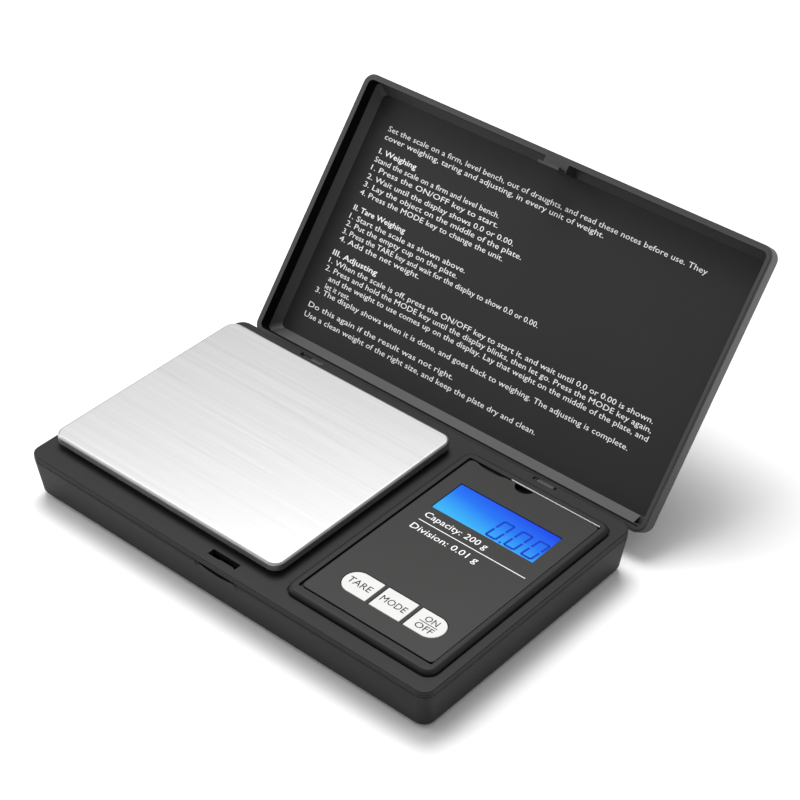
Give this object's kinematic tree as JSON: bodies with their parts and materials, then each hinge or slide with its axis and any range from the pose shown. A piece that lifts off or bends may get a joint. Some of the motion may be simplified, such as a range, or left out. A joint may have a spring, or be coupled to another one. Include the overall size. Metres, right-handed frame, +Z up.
{
  "type": "digital gram scale",
  "caption": "Flat pocket scale for grams: a steel pan and a lit display panel with keys on a black case, under a hinged lid that stands open behind.",
  "frame": {"origin": "centre of the bounding box's bottom face, at the table under the open scale; the case lies towards -Y and the open lid towards +Y", "axes": "+X along the hinge towards the display side, +Y from the front of the case to the lid, +Z up"},
  "size_m": [0.127, 0.1292, 0.0651],
  "materials": {
    "case_black": "fine matt texture, moulded black",
    "deck_black": "fine matt texture, moulded black",
    "overlay_grey": "smooth satin sheet",
    "key_white": "satin white",
    "pan_steel": "brushed along the width",
    "pin_steel": "plain turned steel",
    "spring_steel": "bright plated spring steel",
    "beam_aluminium": "milled",
    "potting_white": "soft white silicone",
    "board_green": "solder mask on glass-fibre board",
    "chip_black": "epoxy drop",
    "lcd_blue": "clear window lit blue from behind",
    "glass_clear": "clear polished",
    "light_guide": "translucent light guide",
    "rubber_black": "matt",
    "rubber_pink": "soft conductive strip",
    "cell_wrap": "printed film over a steel can, plain here",
    "wire_red": "flexible insulation",
    "wire_black": "flexible insulation",
    "wire_grey": "flexible insulation"
  },
  "bodies": {
    "base": {"lower_case": "case_black", "upper_deck": "deck_black", "display_housing": "deck_black", "panel_overlay": "overlay_grey", "lcd_window": "lcd_blue", "lcd_glass": "glass_clear", "lcd_frame": "case_black", "backlight": "light_guide", "zebra_strip": "rubber_pink", "main_board": "board_green", "controller_chip": "chip_black", "tare_dome": "spring_steel", "mode_dome": "spring_steel", "power_dome": "spring_steel", "load_cell": "beam_aluminium", "gauge_potting": "potting_white", "load_cell_screw_1": "pin_steel", "load_cell_screw_2": "pin_steel", "overload_stop": "pin_steel", "battery_1": "cell_wrap", "battery_2": "cell_wrap", "contact_spring_1": "spring_steel", "contact_spring_2": "spring_steel", "contact_bridge": "spring_steel", "contact_negative": "spring_steel", "contact_positive": "spring_steel", "battery_lead_red": "wire_red", "battery_lead_black": "wire_black", "load_cell_cable": "wire_grey", "hinge_pin_left": "pin_steel", "hinge_pin_right": "pin_steel", "foot_front_left": "rubber_black", "case_screw_front_left": "pin_steel", "foot_front_right": "rubber_black", "case_screw_front_right": "pin_steel", "foot_back_left": "rubber_black", "case_screw_back_left": "pin_steel", "foot_back_right": "rubber_black", "case_screw_back_right": "pin_steel"},
    "battery_door": {"battery_door": "case_black"},
    "latch_button": {"latch_button": "case_black"},
    "pan": {"weighing_pan": "pan_steel", "pan_carrier": "case_black", "carrier_screw_1": "pin_steel", "carrier_screw_2": "pin_steel"},
    "tare_key": {"tare_key": "key_white"},
    "mode_key": {"mode_key": "key_white"},
    "power_key": {"power_key": "key_white"},
    "lid": {"lid_shell": "case_black"}
  },
  "joints": [
    {"name": "lid_hinge", "type": "hinge", "parent": "base", "child": "lid", "pos_m": [0, 0.00994, 0.0093], "axis": [-1, 0, 0], "range_deg": [-128.7, 0]},
    {"name": "pan_slide", "type": "slide", "parent": "base", "child": "pan", "axis": [0, 0, -1], "range_m": [0, 0.0003], "stiffness_N_per_m": 2000, "springref_m": -0.00015},
    {"name": "tare_press", "type": "slide", "parent": "base", "child": "tare_key", "axis": [0, 0, -1], "range_m": [0, 0.00035], "stiffness_N_per_m": 150, "springref_m": -0.00001},
    {"name": "mode_press", "type": "slide", "parent": "base", "child": "mode_key", "axis": [0, 0, -1], "range_m": [0, 0.00035], "stiffness_N_per_m": 150, "springref_m": -0.00001},
    {"name": "power_press", "type": "slide", "parent": "base", "child": "power_key", "axis": [0, 0, -1], "range_m": [0, 0.00035], "stiffness_N_per_m": 150, "springref_m": -0.00001},
    {"name": "latch_slide", "type": "slide", "parent": "base", "child": "latch_button", "axis": [0, 1, 0], "range_m": [0, 0.0004], "stiffness_N_per_m": 300},
    {"name": "battery_door_hinge", "type": "hinge", "parent": "base", "child": "battery_door", "pos_m": [0, -0.03546, 0.0006], "axis": [1, 0, 0], "range_deg": [0, 75]}
  ]
}
